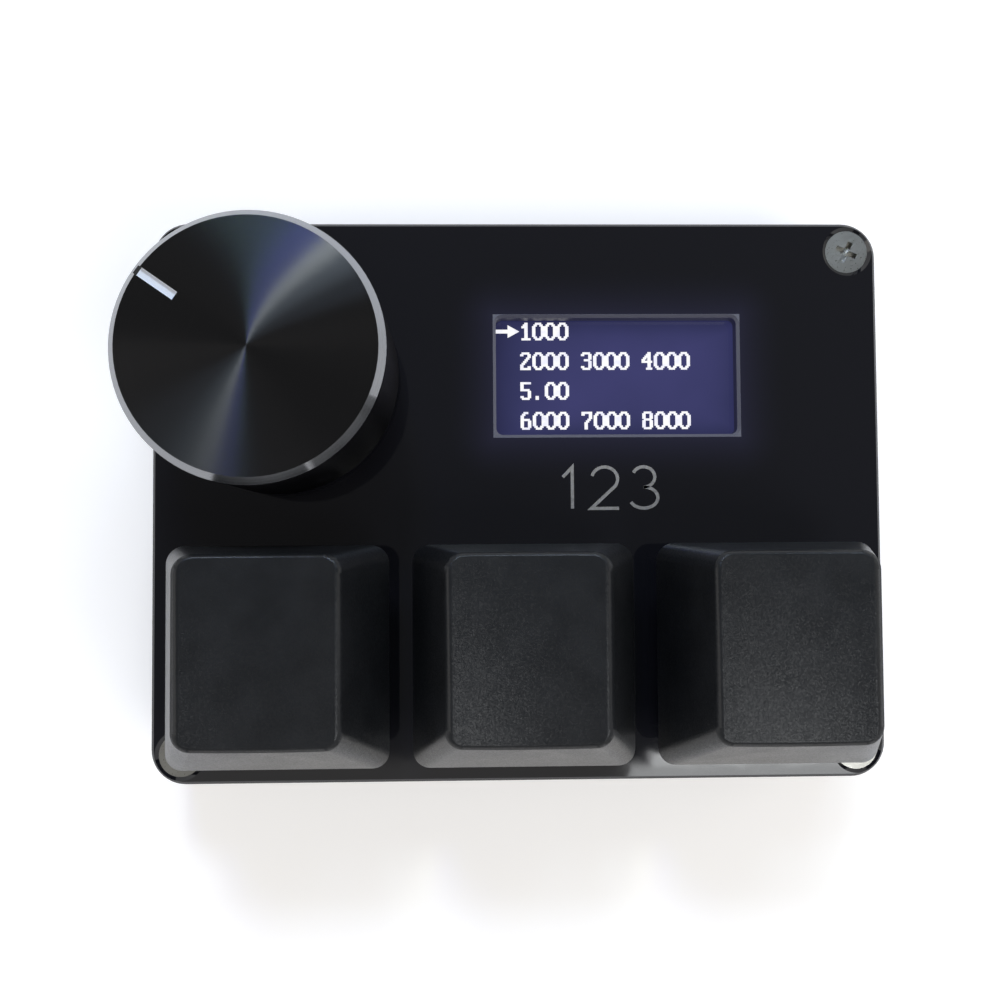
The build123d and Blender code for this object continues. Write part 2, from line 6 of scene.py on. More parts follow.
import bpy
from mathutils import Euler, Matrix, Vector


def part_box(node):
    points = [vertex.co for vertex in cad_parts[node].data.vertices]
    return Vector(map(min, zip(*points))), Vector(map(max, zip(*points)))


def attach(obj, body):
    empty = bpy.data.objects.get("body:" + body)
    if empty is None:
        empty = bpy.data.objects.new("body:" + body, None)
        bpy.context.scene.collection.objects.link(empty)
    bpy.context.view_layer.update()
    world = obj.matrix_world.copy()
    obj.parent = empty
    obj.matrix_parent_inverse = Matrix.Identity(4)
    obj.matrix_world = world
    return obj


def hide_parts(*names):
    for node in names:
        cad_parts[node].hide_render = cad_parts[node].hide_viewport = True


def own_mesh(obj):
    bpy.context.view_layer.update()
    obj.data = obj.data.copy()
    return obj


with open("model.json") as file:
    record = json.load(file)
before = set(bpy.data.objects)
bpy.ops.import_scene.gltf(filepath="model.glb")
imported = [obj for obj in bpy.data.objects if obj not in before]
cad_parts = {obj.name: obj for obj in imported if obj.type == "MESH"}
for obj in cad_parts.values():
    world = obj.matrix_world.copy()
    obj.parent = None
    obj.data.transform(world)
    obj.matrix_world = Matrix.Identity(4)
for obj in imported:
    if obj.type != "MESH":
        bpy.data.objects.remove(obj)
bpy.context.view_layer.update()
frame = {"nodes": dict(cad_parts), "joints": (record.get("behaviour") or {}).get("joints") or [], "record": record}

# Sizes are in millimetres, in the frame of the solids.
MM = 0.001

# Camera, fitted to the photograph
camera_place = (-4.28, -4.24, 110.9)
camera_turn = (0.0418, -0.0263, -0.0060)
camera_turn_order = "YXZ"
camera_lens = 40.71
camera_sensor = 36.0
camera_nearest = 5.0
camera_farthest = 20000.0

# Overhead panels of light, each with its span in x and in y, its radiance and its colour
overhead_height = 361.0
rear_span = (215, 325)
overhead_panels = {
    "front_right": ((58, 260), (-240, -90), 6.4, (0.97, 0.99, 1.0)),
    "front_strip": ((66, 170), (-90, -86), 12.0, (0.97, 0.99, 1.0)),
    "front_left": ((-260, 58), (-240, -86), 0.55, (1.0, 0.97, 0.93)),
    "rear_green": ((-97, -89), rear_span, 14.0, (0.55, 1.0, 0.45)),
    "rear_blue": ((-89, -54), rear_span, 26.0, (0.26, 0.34, 1.0)),
    "rear_white": ((-54, -20), rear_span, 42.0, (0.9, 1.0, 1.0)),
    "rear_grey": ((-20, 52), rear_span, 16.0, (0.7, 0.86, 1.0)),
    "rear_streak": ((81, 150), rear_span, 10.0, (0.62, 0.78, 1.0)),
}
off_the_knob = ("front_right", "front_strip")

# Softboxes at the sides, each with its middle and its radiance
side_softboxes = {"left_side": ((-520, -60, 380), 1.5), "right_side": ((520, 120, 380), 1.2)}
side_softbox_size = (400, 300)
side_softbox_colour = (1.0, 0.96, 0.9)
light_aim = (0, 0, 15)

# Sky, with its level by the sine of the height above the horizon
sky_levels = ((0.0, 0.95), (0.28, 0.85), (0.72, 0.15), (1.0, 0.1))

# Floor, lifted with distance so that it runs into the sky
floor_half = 4000.0
floor_pale = (0.85, 0.82, 0.8, 1.0)
floor_lift_colour = (1.0, 1.0, 1.0, 1.0)
floor_lifts = (0.3, 0.66)
floor_lift_span = (250.0, 1000.0)
floor_roughness = 0.8
floor_shine = 0.1

# Shapes of the solids that the finishes follow
window_middle = (8.75, 10.9)
window_length = 21.4
window_width = 10.4
window_cut = 0.27
rim_height = 0.7
face_radius = 9.7
mask_room = 0.006
soft_edged = ("keycap_left", "keycap_middle", "keycap_right")
steep_edge = 50.0
join_reach = 0.001

# Colours below are as a picker reads them, 0 to 255, and a noise is a patch's size and its layers of detail.
full_tone = 255
srgb_knee = 0.04045
srgb_slope = 12.92
srgb_offset = 0.055
srgb_power = 2.4
noise_low = 0.3
noise_high = 0.7
cell_tint_middle = (0.5, 0.5, 0.5)

# Moulded plastics and rubber, each with two shades, its roughness, and its grain's size and depth
mould_mottle = (2.5, 4)
mould_stops = (0.35, 0.65)
mould_play = 0.06
mould_grain_detail = 2
fine_grain = (0.12, 0.006)
chip_grain = (0.08, 0.006)
hood_grain = (0.3, 0.003)
rubber_grain = (0.2, 0.01)
ink = (22, 22, 24)
soot = (28, 28, 31)
moulded_slots = {
    "case_plastic": (ink, soot, 0.5, fine_grain),
    "foot_rubber": ((30, 30, 31), (40, 40, 41), 0.85, rubber_grain),
    "chip_plastic": ((26, 26, 27), (36, 36, 38), 0.6, chip_grain),
    "component_ceramic": ((142, 118, 92), (166, 140, 110), 0.5, fine_grain),
    "tongue_plastic": (ink, soot, 0.4, fine_grain),
    "tray_plastic": ((206, 208, 210), (222, 223, 224), 0.45, fine_grain),
    "connector_plastic": ((214, 206, 186), (228, 220, 202), 0.45, fine_grain),
    "encoder_plastic": (ink, soot, 0.45, fine_grain),
    "rotor_plastic": ((216, 214, 206), (230, 228, 222), 0.4, fine_grain),
    "core_plastic": (ink, soot, 0.5, fine_grain),
    "switch_plastic": (ink, soot, 0.42, fine_grain),
    "hood_plastic": ((34, 34, 37), (44, 44, 47), 0.32, hood_grain),
    "stem_plastic": ((208, 206, 200), (224, 222, 217), 0.4, fine_grain),
}

# Metals, each with two shades, its roughness and the stretch of its fine lines
metal_stain = (3.0, 3)
metal_stops = (0.3, 0.7)
metal_lines = (0.15, 3)
metal_line_depth = 0.002
metal_play = 0.08
drawn_upright = (1, 1, 0.08)
turned_round = (0.08, 0.08, 1)
metal_slots = {
    "screw_steel": ((140, 139, 134), (160, 159, 154), 0.34, drawn_upright),
    "socket_steel": ((176, 176, 178), (198, 198, 200), 0.28, drawn_upright),
    "bush_alloy": ((168, 168, 166), (188, 188, 186), 0.35, turned_round),
    "bracket_steel": ((172, 172, 170), (192, 192, 190), 0.32, drawn_upright),
    "terminal_brass": ((196, 160, 92), (214, 180, 112), 0.3, drawn_upright),
    "leaf_steel": ((170, 170, 172), (194, 194, 196), 0.24, drawn_upright),
    "shaft_alloy": ((178, 178, 178), (198, 198, 198), 0.3, turned_round),
    "magnet_plating": ((186, 186, 188), (206, 206, 208), 0.2, drawn_upright),
}

# Keycap plastic
cap_mottle = (3.0, 3)
cap_shades = ((0.35, (23, 24, 26)), (0.65, (27, 28, 30)))
cap_roughness = (0.32, 0.36)
cap_shine = 0.26
cap_grain = 0.09
cap_grain_lean = 0.12

# Panel gloss, and a painted glow round the window, standing in for the display's light on it
panel_black = (21, 21, 25)
panel_bevel_grey = (84, 84, 90)
panel_haze = (6.0, 3)
panel_roughness = (0.03, 0.07)
panel_cut_roughness = 0.45
panel_wave = (2.2, 1)
panel_wave_depth = 0.004
painted_glow_reach = 4.5
painted_glow_off = (0, 0, 0)
painted_glow_full = (24, 24, 42)

# Knob alloy; the drifts bend the highlight of the turned face, below and above the knob's middle
knob_rings = (0.1, 2)
knob_side_black = (36, 36, 40)
knob_face_shades = ((0.3, (74, 74, 76)), (0.7, (82, 82, 84)))
knob_rim_bright = (142, 144, 148)
knob_groove_pale = (236, 238, 242)
knob_side_roughness = (0.38, 0.42)
knob_face_smoother = 0.2
knob_rim_smoother = 0.25
knob_groove_rougher = 0.45
ring_anisotropy = 1.0
ring_quarter_turn = 0.25
ring_drifts = (0.01, 0.14)
ring_drift_span = 4.0

# Display glass
glass_black = (12, 12, 16)
glass_roughness = (0.05, 0.08)
display_cloud = (7.0, 2)
display_cloud_share = 0.35
display_fall = 4.0
display_shades = ((0.1, (60, 60, 108)), (0.45, (48, 50, 90)), (0.95, (30, 31, 62)))

# Lit dots
lit_ground = (20, 20, 24)
lit_flicker = (0.6, 1)
lit_shades = ((0.3, (236, 236, 250)), (0.6, (255, 255, 255)))

# Printing ink
ink_wear = (0.25, 3)
ink_shades = ((0.3, (116, 113, 110)), (0.6, (138, 135, 131)))
ink_roughness = (0.45, 0.6)

# Foam; its pores are painted darker than the cell walls, a painted shade in the hollows
foam_cell = 0.35
foam_depth = 0.08
foam_pore_shading = ((0.1, (24, 24, 26)), (0.7, (62, 62, 64)))
foam_roughness = 0.95

# Board; its weave is in radians for each millimetre
board_weave = 9.0
board_weave_depth = 0.004
board_mask = (1.5, 3)
board_shades = ((0.35, (16, 36, 28)), (0.65, (24, 52, 38)))
board_roughness = (0.28, 0.4)

# Ribbon film; its lines are in radians for each millimetre
film_lines = 10.0
film_line_level = 0.2
film_wash = (1.2, 3)
film_shades = ((0.3, (120, 66, 18)), (0.7, (150, 88, 28)))
film_copper = (176, 104, 52)
film_roughness = (0.3, 0.42)

# Springs and the push contact, drawn at rest; in the pad they give way as a key or the knob goes down
coil_turns = 5
coil_steps = 18
coil_wire = 0.3
coil_sides = 8
contact_sheet = 0.1
contact_steps = 16

# Display signs, in rows of dots whose bits are set where a dot is lit
dot_width = 0.132
dot_height = 0.156
dot_bleed = 0.018
cell_width = 1.096
row_pitch = 2.69
text_left = 0.28
text_top = 15.96
lit_rise = 0.03
text_rows = ("1000", "2000 3000 4000", "5.00", "6000 7000 8000")
digit_columns = 8
digit_rows = {
    "0": (0x3C, 0x66, 0xC3, 0xC3, 0xC3, 0xC3, 0xC3, 0xC3, 0x66, 0x3C),
    "1": (0x18, 0x38, 0x78, 0x18, 0x18, 0x18, 0x18, 0x18, 0x18, 0x7E),
    "2": (0x7C, 0xC6, 0x06, 0x0C, 0x18, 0x30, 0x60, 0xC0, 0xC6, 0xFE),
    "3": (0x7C, 0xC6, 0x06, 0x06, 0x3C, 0x06, 0x06, 0x06, 0xC6, 0x7C),
    "4": (0x0C, 0x1C, 0x3C, 0x6C, 0xCC, 0xFE, 0x0C, 0x0C, 0x0C, 0x1E),
    "5": (0xFE, 0xC0, 0xC0, 0xC0, 0xFC, 0x06, 0x06, 0x06, 0xC6, 0x7C),
    "6": (0x38, 0x60, 0xC0, 0xC0, 0xFC, 0xC6, 0xC6, 0xC6, 0xC6, 0x7C),
    "7": (0xFE, 0xC6, 0x06, 0x06, 0x0C, 0x18, 0x30, 0x30, 0x30, 0x30),
    "8": (0x7C, 0xC6, 0xC6, 0xC6, 0x7C, 0xC6, 0xC6, 0xC6, 0xC6, 0x7C),
    ".": (0x00, 0x00, 0x00, 0x00, 0x00, 0x00, 0x00, 0x00, 0x30, 0x30),
    " ": (0x00, 0x00, 0x00, 0x00, 0x00, 0x00, 0x00, 0x00, 0x00, 0x00),
}
arrow_left = -1.95
arrow_tip = 0.2
arrow_y = 15.18
arrow_thickness = 0.34
arrow_head_length = 1.05
arrow_head_height = 1.15

# Printed numbers under the window
print_left = 3.7
print_baseline = -0.85
print_height = 3.65
print_widths = (1.6, 2.6, 2.6)
print_gap = 0.95
print_stroke = 0.28
print_rise = 0.012
arc_steps = 28
sharpest_mitre = 0.35

# Middle lines of the numerals, as shares of their width and height, and the sweep of each bow in degrees
one_shares = ((0.1, 0.76), (0.62, 1.0), (0.62, 0.0))
two_bow_shares = ((0.5, 0.71), (0.44, 0.29))
two_bow_sweep = (165, -38)
two_foot_shares = ((0.04, 0.0), (0.98, 0.0))
three_upper_shares = ((0.46, 0.755), (0.38, 0.245))
three_upper_sweep = (155, -90)
three_lower_shares = ((0.46, 0.255), (0.48, 0.255))
three_lower_sweep = (90, -155)


def tone(colour):
    """A colour as a picker reads it, turned into the scene's linear light."""
    return tuple(linear(part / full_tone) for part in colour) + (1.0,)


def linear(part):
    """The standard curve from a picture's values to light."""
    if part <= srgb_knee:
        return part / srgb_slope
    return ((part + srgb_offset) / (1 + srgb_offset)) ** srgb_power


def fill_ramp(node, stops):
    """Sets a colour ramp's stops, each a position and a colour."""
    elements = node.color_ramp.elements
    for position, _ in stops[1:-1]:
        elements.new(position)
    for element, (position, colour) in zip(elements, stops):
        element.position = position
        element.color = colour


class Shader:
    """One material's nodes, built round its Principled shader, with lengths in millimetres."""

    def __init__(self, name):
        self.material = bpy.data.materials.new(name)
        self.material.use_nodes = True
        self.tree = self.material.node_tree
        self.surface = self.tree.nodes["Principled BSDF"]

    def add(self, kind, **settings):
        node = self.tree.nodes.new("ShaderNode" + kind)
        for key, value in settings.items():
            setattr(node, key, value)
        return node

    def feed(self, socket, value):
        if isinstance(value, bpy.types.NodeSocket):
            self.tree.links.new(value, socket)
        else:
            socket.default_value = value

    def dress(self, **values):
        """Sets the Principled shader's sockets, named with _ for a space."""
        for key, value in values.items():
            self.feed(self.surface.inputs[key.replace("_", " ")], value)
        return self.material

    def math(self, operation, *values):
        node = self.add("Math", operation=operation)
        for socket, value in zip(node.inputs, values):
            self.feed(socket, value)
        return node.outputs[0]

    def square(self, value):
        return self.math("MULTIPLY", value, value)

    def hypot(self, first, second):
        return self.math("SQRT", self.math("ADD", self.square(first), self.square(second)))

    def place(self, centre=(0, 0, 0), stretch=(1, 1, 1)):
        """Millimetres from a point of the solid, so that the pattern moves with it."""
        mapping = self.add("Mapping")
        self.feed(mapping.inputs["Vector"], self.add("TexCoord").outputs["Object"])
        mapping.inputs["Scale"].default_value = [part / MM for part in stretch]
        mapping.inputs["Location"].default_value = [-c * s for c, s in zip(centre, stretch)]
        return mapping.outputs[0]

    def parts(self, vector):
        node = self.add("SeparateXYZ")
        self.feed(node.inputs[0], vector)
        return node.outputs

    def noise(self, vector, size, detail):
        node = self.add("TexNoise")
        self.feed(node.inputs["Vector"], vector)
        self.feed(node.inputs["Scale"], 1 / size)
        self.feed(node.inputs["Detail"], detail)
        return node.outputs[0]

    def cells(self, vector, size):
        """Distance and tint of random cells."""
        node = self.add("TexVoronoi")
        self.feed(node.inputs["Vector"], vector)
        self.feed(node.inputs["Scale"], 1 / size)
        return node.outputs["Distance"], node.outputs["Color"]

    def span(self, value, low, high, start=noise_low, end=noise_high):
        """Runs from low to high as the value goes from start to end."""
        node = self.add("MapRange")
        for socket, number in zip(node.inputs, (value, start, end, low, high)):
            self.feed(socket, number)
        return node.outputs[0]

    def shades(self, value, stops):
        node = self.add("ValToRGB")
        fill_ramp(node, [(position, tone(colour)) for position, colour in stops])
        self.feed(node.inputs[0], value)
        return node.outputs[0]

    def mix(self, share, first, second):
        node = self.add("Mix", data_type="RGBA")
        colours = [s for s in node.inputs if s.type == "RGBA"]
        self.feed(node.inputs[0], share)
        self.feed(colours[0], first)
        self.feed(colours[1], second)
        return [s for s in node.outputs if s.type == "RGBA"][0]

    def facets(self, vector, size, lean):
        """Normals that lean a little at random from grain to grain."""
        steps = [self.add("VectorMath", operation=kind) for kind in ("SUBTRACT", "SCALE", "ADD", "NORMALIZE")]
        centred, scaled, leaning, unit = steps
        _, tint = self.cells(vector, size)
        self.feed(centred.inputs[0], tint)
        self.feed(centred.inputs[1], cell_tint_middle)
        self.feed(scaled.inputs[0], centred.outputs[0])
        self.feed(scaled.inputs["Scale"], lean)
        self.feed(leaning.inputs[0], scaled.outputs[0])
        self.feed(leaning.inputs[1], self.add("NewGeometry").outputs["Normal"])
        self.feed(unit.inputs[0], leaning.outputs[0])
        return unit.outputs[0]

    def bump(self, height, depth):
        node = self.add("Bump")
        self.feed(node.inputs["Height"], height)
        self.feed(node.inputs["Distance"], depth * MM)
        return node.outputs[0]


def moulded(name, dark, light, roughness, grain):
    """Moulded plastic or rubber: a slightly mottled colour and a fine eroded grain."""
    shader = Shader(name)
    where = shader.place()
    mottle = shader.noise(where, *mould_mottle)
    size, depth = grain
    return shader.dress(
        Base_Color=shader.shades(mottle, list(zip(mould_stops, (dark, light)))),
        Roughness=shader.span(mottle, roughness - mould_play, roughness + mould_play),
        Normal=shader.bump(shader.noise(where, size, mould_grain_detail), depth),
    )


def metal(name, dark, light, roughness, stretch):
    """Plated or rolled metal: fine lines along the direction it was drawn or turned."""
    shader = Shader(name)
    lines = shader.noise(shader.place(stretch=stretch), *metal_lines)
    stain = shader.noise(shader.place(), *metal_stain)
    return shader.dress(
        Base_Color=shader.shades(stain, list(zip(metal_stops, (dark, light)))),
        Metallic=1.0,
        Roughness=shader.span(lines, roughness - metal_play, roughness + metal_play),
        Normal=shader.bump(lines, metal_line_depth),
    )


def cap_finish(name):
    """Charcoal keycap plastic with the glinting grain of an eroded mould."""
    shader = Shader(name)
    where = shader.place()
    mottle = shader.noise(where, *cap_mottle)
    return shader.dress(
        Base_Color=shader.shades(mottle, cap_shades),
        Roughness=shader.span(mottle, *cap_roughness),
        Specular_IOR_Level=cap_shine,
        Normal=shader.facets(where, cap_grain, cap_grain_lean),
    )


def panel_finish(name, panel_top):
    """Gloss black sheet, faintly wavy, with a frosted cut edge round the window and a glow painted round it for
    the display's light.
    """
    shader = Shader(name)
    where = shader.place((*window_middle, panel_top))
    across, along, up = shader.parts(where)
    off_x = shader.math("SUBTRACT", shader.math("ABSOLUTE", across), window_length / 2)
    off_y = shader.math("SUBTRACT", shader.math("ABSOLUTE", along), window_width / 2)
    cut = shader.math("LESS_THAN", shader.math("MAXIMUM", off_x, off_y), window_cut)
    bevel = shader.math("MULTIPLY", cut, shader.math("GREATER_THAN", up, -window_cut))
    past = shader.hypot(shader.math("MAXIMUM", off_x, 0.0), shader.math("MAXIMUM", off_y, 0.0))
    # painted glow: the panel itself emits round the window and fades out over the reach, in place of the display's
    # spilled light
    painted_glow = shader.square(shader.span(past, 1.0, 0.0, 0.0, painted_glow_reach))
    gloss = shader.span(shader.noise(where, *panel_haze), *panel_roughness)
    return shader.dress(
        Base_Color=shader.mix(bevel, tone(panel_black), tone(panel_bevel_grey)),
        Roughness=shader.math("MAXIMUM", shader.math("MULTIPLY", cut, panel_cut_roughness), gloss),
        Normal=shader.bump(shader.noise(where, *panel_wave), panel_wave_depth),
        Emission_Color=shader.mix(painted_glow, tone(painted_glow_off), tone(painted_glow_full)),
        Emission_Strength=1.0,
    )


def bent_tangent(shader, x, y, radius):
    """The tangent of the turned rings, bent away from the middle so that the highlight curves."""
    turned = shader.add("VectorRotate", rotation_type="Z_AXIS")
    tangent = shader.add("Tangent", direction_type="RADIAL", axis="Z")
    shader.feed(turned.inputs["Vector"], tangent.outputs[0])
    across = shader.math("MULTIPLY", x, shader.square(shader.math("DIVIDE", y, radius)))
    drift = shader.span(y, *ring_drifts, -ring_drift_span / 2, ring_drift_span / 2)
    shader.feed(turned.inputs["Angle"], shader.math("MULTIPLY", across, drift))
    return turned.outputs[0]


def knob_finish(name, axis, top):
    """Turned black alloy: ring-cut face, bright-cut rim, pale groove and satin side."""
    shader = Shader(name)
    x, y, z = shader.parts(shader.place((*axis, top)))
    radius = shader.hypot(x, y)
    rings = shader.add("CombineXYZ")
    shader.feed(rings.inputs[0], radius)
    ring = shader.noise(rings.outputs[0], *knob_rings)
    face = shader.math("GREATER_THAN", z, -mask_room)
    bright = shader.math("COMPARE", z, -rim_height / 2, rim_height / 2 - mask_room)
    groove = shader.math("MULTIPLY", bright, shader.math("LESS_THAN", radius, face_radius))
    dark = shader.mix(face, tone(knob_side_black), shader.shades(ring, knob_face_shades))
    pale = shader.mix(groove, tone(knob_rim_bright), tone(knob_groove_pale))
    roughness = shader.span(ring, *knob_side_roughness)
    changes = ((face, -knob_face_smoother), (bright, -knob_rim_smoother), (groove, knob_groove_rougher))
    for mask, change in changes:
        roughness = shader.math("ADD", roughness, shader.math("MULTIPLY", mask, change))
    return shader.dress(
        Base_Color=shader.mix(bright, dark, pale),
        Metallic=shader.math("SUBTRACT", 1.0, groove),
        Roughness=roughness,
        Anisotropic=ring_anisotropy,
        Anisotropic_Rotation=ring_quarter_turn,
        Tangent=bent_tangent(shader, x, y, radius),
    )


def display_finish(name, middle, half_length, half_width):
    """Lit display: a blue-violet ground, brighter in the middle, under smooth glass."""
    shader = Shader(name)
    where = shader.place(middle)
    x, y, _ = shader.parts(where)
    reach_x = shader.math("DIVIDE", shader.math("ABSOLUTE", x), half_length)
    reach_y = shader.math("DIVIDE", shader.math("ABSOLUTE", y), half_width)
    reach = shader.math("POWER", shader.math("MAXIMUM", reach_x, reach_y), display_fall)
    cloud = shader.noise(where, *display_cloud)
    level = shader.math("ADD", reach, shader.math("MULTIPLY", cloud, display_cloud_share))
    return shader.dress(
        Base_Color=tone(glass_black),
        Roughness=shader.span(cloud, *glass_roughness),
        Emission_Color=shader.shades(level, display_shades),
        Emission_Strength=1.0,
    )


def lit_finish(name):
    """White lit dots, a little uneven from dot to dot."""
    shader = Shader(name)
    flicker = shader.noise(shader.place(), *lit_flicker)
    return shader.dress(
        Base_Color=tone(lit_ground),
        Emission_Color=shader.shades(flicker, lit_shades),
        Emission_Strength=1.0,
    )


def ink_finish(name):
    """Thin grey print with a little wear."""
    shader = Shader(name)
    wear = shader.noise(shader.place(), *ink_wear)
    return shader.dress(
        Base_Color=shader.shades(wear, ink_shades),
        Roughness=shader.span(wear, *ink_roughness),
    )


def foam_finish(name):
    """Dark open-cell foam, with a painted shade darkening its pores."""
    shader = Shader(name)
    cell, _ = shader.cells(shader.place(), foam_cell)
    return shader.dress(
        # painted shade: darkest at the pore bottoms, where the bump is lowest
        Base_Color=shader.shades(cell, foam_pore_shading),
        Roughness=foam_roughness,
        Normal=shader.bump(cell, foam_depth),
    )


def board_finish(name):
    """Dark solder mask over the faint weave of the laminate."""
    shader = Shader(name)
    where = shader.place()
    x, y, _ = shader.parts(where)
    waves = [shader.math("SINE", shader.math("MULTIPLY", part, board_weave)) for part in (x, y)]
    mask = shader.noise(where, *board_mask)
    return shader.dress(
        Base_Color=shader.shades(mask, board_shades),
        Roughness=shader.span(mask, *board_roughness),
        Normal=shader.bump(shader.math("MULTIPLY", *waves), board_weave_depth),
    )


def ribbon_finish(name):
    """Amber film with copper lines along it."""
    shader = Shader(name)
    where = shader.place()
    wave = shader.math("SINE", shader.math("MULTIPLY", shader.parts(where)[0], film_lines))
    line = shader.math("GREATER_THAN", wave, film_line_level)
    wash = shader.noise(where, *film_wash)
    return shader.dress(
        Base_Color=shader.mix(line, shader.shades(wash, film_shades), tone(film_copper)),
        Roughness=shader.span(wash, *film_roughness),
    )


def middle_of(node):
    """The middle and the half size of a solid."""
    low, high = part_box(node)
    return (low + high) / (2 * MM), (high - low) / (2 * MM)


def finishes():
    """A finish for each material slot of the record."""
    knob_middle, knob_half = middle_of("knob_shell")
    glass_middle, glass_half = middle_of("lcd_glass")
    panel_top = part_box("top_panel")[1].z / MM
    made = {slot: moulded(slot + "_finish", *look) for slot, look in moulded_slots.items()}
    made |= {slot: metal(slot + "_finish", *look) for slot, look in metal_slots.items()}
    made |= {
        "panel_gloss": panel_finish("panel_gloss_finish", panel_top),
        "display_glass": display_finish("display_glass_finish", glass_middle, glass_half.x, glass_half.y),
        "knob_alloy": knob_finish("knob_alloy_finish", knob_middle[:2], knob_middle.z + knob_half.z),
        "cap_plastic": cap_finish("cap_plastic_finish"),
        "foam": foam_finish("foam_finish"),
        "board_laminate": board_finish("board_laminate_finish"),
        "ribbon_film": ribbon_finish("ribbon_film_finish"),
    }
    return made


def dress_solids():
    finish = finishes()
    for part in frame["record"]["subparts"]:
        materials = frame["nodes"][part["node"]].data.materials
        for i in range(len(materials)):
            materials[i] = finish[part["material_slot"]]


def soft_edge_tree():
    """Joins a solid's facets and smooths every edge but the steep ones, so that a bevel shades as a round."""
    tree = bpy.data.node_groups.new("soft_edges", "GeometryNodeTree")
    tree.interface.new_socket("Geometry", in_out="INPUT", socket_type="NodeSocketGeometry")
    tree.interface.new_socket("Geometry", in_out="OUTPUT", socket_type="NodeSocketGeometry")
    nodes = tree.nodes
    start = nodes.new("NodeGroupInput")
    merge = nodes.new("GeometryNodeMergeByDistance")
    merge.inputs["Distance"].default_value = join_reach * MM
    smooth = nodes.new("GeometryNodeSetShadeSmooth")
    angle = nodes.new("GeometryNodeInputMeshEdgeAngle")
    steep = nodes.new("FunctionNodeCompare")
    steep.operation = "GREATER_THAN"
    steep.inputs["B"].default_value = math.radians(steep_edge)
    crisp = nodes.new("GeometryNodeSetShadeSmooth")
    crisp.domain = "EDGE"
    crisp.inputs["Shade Smooth"].default_value = False
    end = nodes.new("NodeGroupOutput")
    tree.links.new(start.outputs[0], merge.inputs["Geometry"])
    tree.links.new(merge.outputs["Geometry"], smooth.inputs["Geometry"])
    tree.links.new(smooth.outputs["Geometry"], crisp.inputs["Geometry"])
    tree.links.new(angle.outputs["Unsigned Angle"], steep.inputs["A"])
    tree.links.new(steep.outputs["Result"], crisp.inputs["Selection"])
    tree.links.new(crisp.outputs["Geometry"], end.inputs[0])
    return tree


def soften_edges():
    """Shades the bevels of the caps as rounds."""
    tree = soft_edge_tree()
    for node in soft_edged:
        solid = frame["nodes"][node]
        solid.modifiers.new("soft_edges", "NODES").node_group = tree
        weigh = solid.modifiers.new("weighted_normals", "WEIGHTED_NORMAL")
        weigh.keep_sharp = True


def add_mesh(name, points, faces):
    """A new object with a mesh of points in millimetres."""
    mesh = bpy.data.meshes.new(name)
    mesh.from_pydata([[part * MM for part in point] for point in points], [], faces)
    mesh.validate()
    piece = bpy.data.objects.new(name, mesh)
    bpy.context.scene.collection.objects.link(piece)
    return piece


def skin_faces(first, rings):
    """Faces of a closed skin over a stack of rings, whose points are numbered on from the first."""
    count = len(rings[0])
    last = first + count * (len(rings) - 1)
    faces = [[first + i for i in reversed(range(count))], [last + i for i in range(count)]]
    for start in range(first, last, count):
        for i in range(count):
            j = (i + 1) % count
            faces.append([start + i, start + j, start + count + j, start + count + i])
    return faces


def add_skins(name, stacks):
    """One piece made of closed skins, each over its own stack of rings."""
    points = []
    faces = []
    for rings in stacks:
        faces += skin_faces(len(points), rings)
        points += [point for ring in rings for point in ring]
    return add_mesh(name, points, faces)


def raised(outlines, low, high):
    """A stack of two rings for each outline, which makes it a plate from low to high."""
    return [[[(x, y, z) for x, y in outline] for z in (low, high)] for outline in outlines]


def coil_rings(low, high):
    """Sections of a round wire wound in a box from its foot to its top."""
    wire = coil_wire / 2
    radius = (high.x - low.x) / 2 - wire
    middle = (low + high) / 2
    count = coil_turns * coil_steps
    rings = []
    for i in range(count + 1):
        turn = math.tau * i / coil_steps
        height = low.z + wire + (high.z - low.z - coil_wire) * i / count
        ring = []
        for j in range(coil_sides):
            lean = math.tau * j / coil_sides
            reach = radius + wire * math.sin(lean)
            x = middle.x + reach * math.cos(turn)
            y = middle.y + reach * math.sin(turn)
            ring.append((x, y, height + wire * math.cos(lean)))
        rings.append(ring)
    return rings


def strip_rings(low, high):
    """Sections of a thin strip that arches from end to end of a box."""
    rings = []
    for i in range(contact_steps + 1):
        share = i / contact_steps
        x = low.x + (high.x - low.x) * share
        under = low.z + (high.z - low.z - contact_sheet) * math.sin(math.pi * share)
        over = under + contact_sheet
        rings.append([(x, low.y, under), (x, high.y, under), (x, high.y, over), (x, low.y, over)])
    return rings


def add_springs():
    """Takes the place of each solid that a joint presses flat, with a coil or an arched strip that rides on the
    case.
    """
    for joint in frame["joints"]:
        for pressed in joint.get("deforming_nodes", []):
            node = pressed["node"]
            low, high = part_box(node)
            if node == "push_contact":
                piece = add_skins("push_contact_strip", [strip_rings(low / MM, high / MM)])
            else:
                piece = add_skins(node + "_coil", [coil_rings(low / MM, high / MM)])
            piece.data.shade_smooth()
            piece.data.set_sharp_from_angle(angle=math.radians(steep_edge))
            piece.data.materials.append(frame["nodes"][node].data.materials[0])
            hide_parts(node)
            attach(piece, "case")
            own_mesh(piece)


def lit_runs(bits):
    """The first and the next column of each run of lit dots in a row."""
    lit = [bits >> (digit_columns - 1 - column) & 1 for column in range(digit_columns)]
    steps = [after - before for before, after in zip([0] + lit, lit + [0])]
    starts = [column for column, step in enumerate(steps) if step > 0]
    ends = [column for column, step in enumerate(steps) if step < 0]
    return zip(starts, ends)


